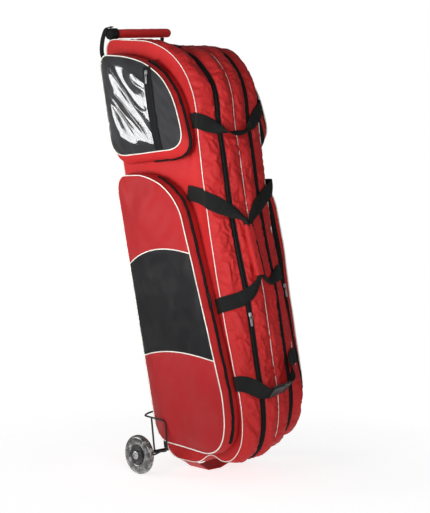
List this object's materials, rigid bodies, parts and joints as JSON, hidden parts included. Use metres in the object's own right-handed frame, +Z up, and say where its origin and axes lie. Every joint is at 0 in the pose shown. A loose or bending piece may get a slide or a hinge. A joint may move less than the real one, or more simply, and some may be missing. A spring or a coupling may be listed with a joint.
{
  "type": "wheeled fencing bag",
  "caption": "Tall red wheeled fencing bag standing upright on a wire trolley, with long front zips, white piping, zipped side pockets, webbing carry handles and a padded pull grip.",
  "frame": {"origin": "middle of the flat sole of the sling that the bag stands on, on the floor", "axes": "+Z up; -Y towards the front with the long zips; +X towards the bag's right side as seen from the front"},
  "size_m": [0.47, 0.6794, 1.3418],
  "materials": {
    "red_polyester": "woven polyester, soft sheen",
    "coated_red": "coated polyester, satin",
    "black_cloth": "coated polyester, satin",
    "webbing": "woven polypropylene, matt",
    "white_piping": "satin",
    "zip_tape": "matt tape with nylon coil",
    "clear_film": "clear soft film, glossy",
    "black_plastic": "satin",
    "bright_metal": "bright plated",
    "black_metal": "semi-gloss paint",
    "grip_pad": "padded cloth sleeve",
    "smoky_tyre": "clear smoky polyurethane"
  },
  "bodies": {
    "bag": {"body_shell": "red_polyester", "front_zip_left": "zip_tape", "front_zip_right": "zip_tape", "front_piping": "white_piping", "side_piping_left": "white_piping", "side_piping_right": "white_piping", "lower_pocket_left": "coated_red", "lower_pocket_right": "coated_red", "lower_pocket_panel_left": "black_cloth", "lower_pocket_panel_right": "black_cloth", "lower_pocket_zip_left": "zip_tape", "lower_pocket_zip_right": "zip_tape", "lower_pocket_piping_left": "white_piping", "lower_pocket_piping_right": "white_piping", "upper_pocket_left": "red_polyester", "upper_pocket_right": "red_polyester", "upper_pocket_face_left": "black_cloth", "upper_pocket_face_right": "black_cloth", "window_left": "clear_film", "window_right": "clear_film", "window_zip_left": "zip_tape", "window_zip_right": "zip_tape", "upper_pocket_zip_left": "zip_tape", "upper_pocket_zip_right": "zip_tape", "upper_pocket_piping_left": "white_piping", "upper_pocket_piping_right": "white_piping", "front_zip_puller_left": "bright_metal", "front_zip_puller_right": "bright_metal", "lower_pocket_puller_left": "bright_metal", "lower_pocket_puller_right": "bright_metal", "upper_pocket_puller_left": "bright_metal", "upper_pocket_puller_right": "bright_metal", "window_zip_puller_left": "bright_metal", "window_zip_puller_right": "bright_metal", "top_strap": "webbing", "handle_loop_left": "webbing", "handle_loop_right": "webbing", "bottom_strap_left": "webbing", "bottom_strap_right": "webbing", "handle_wrap": "red_polyester", "buckle_socket": "black_plastic", "buckle_plug": "black_plastic", "grip": "grip_pad", "grip_tie": "webbing", "axle": "black_metal", "upright_left": "black_metal", "upright_right": "black_metal", "guard_left": "black_metal", "guard_right": "black_metal", "axle_cap_left": "bright_metal", "axle_cap_right": "bright_metal", "sling": "red_polyester"},
    "wheel_left": {"wheel_tyre_left": "smoky_tyre", "wheel_hub_left": "black_plastic"},
    "wheel_right": {"wheel_tyre_right": "smoky_tyre", "wheel_hub_right": "black_plastic"}
  },
  "joints": [
    {"name": "wheel_left_spin", "type": "hinge", "parent": "bag", "child": "wheel_left", "pos_m": [-0.213, 0.065, 0.06], "axis": [1, 0, 0], "continuous": true},
    {"name": "wheel_right_spin", "type": "hinge", "parent": "bag", "child": "wheel_right", "pos_m": [0.213, 0.065, 0.06], "axis": [1, 0, 0], "continuous": true}
  ]
}
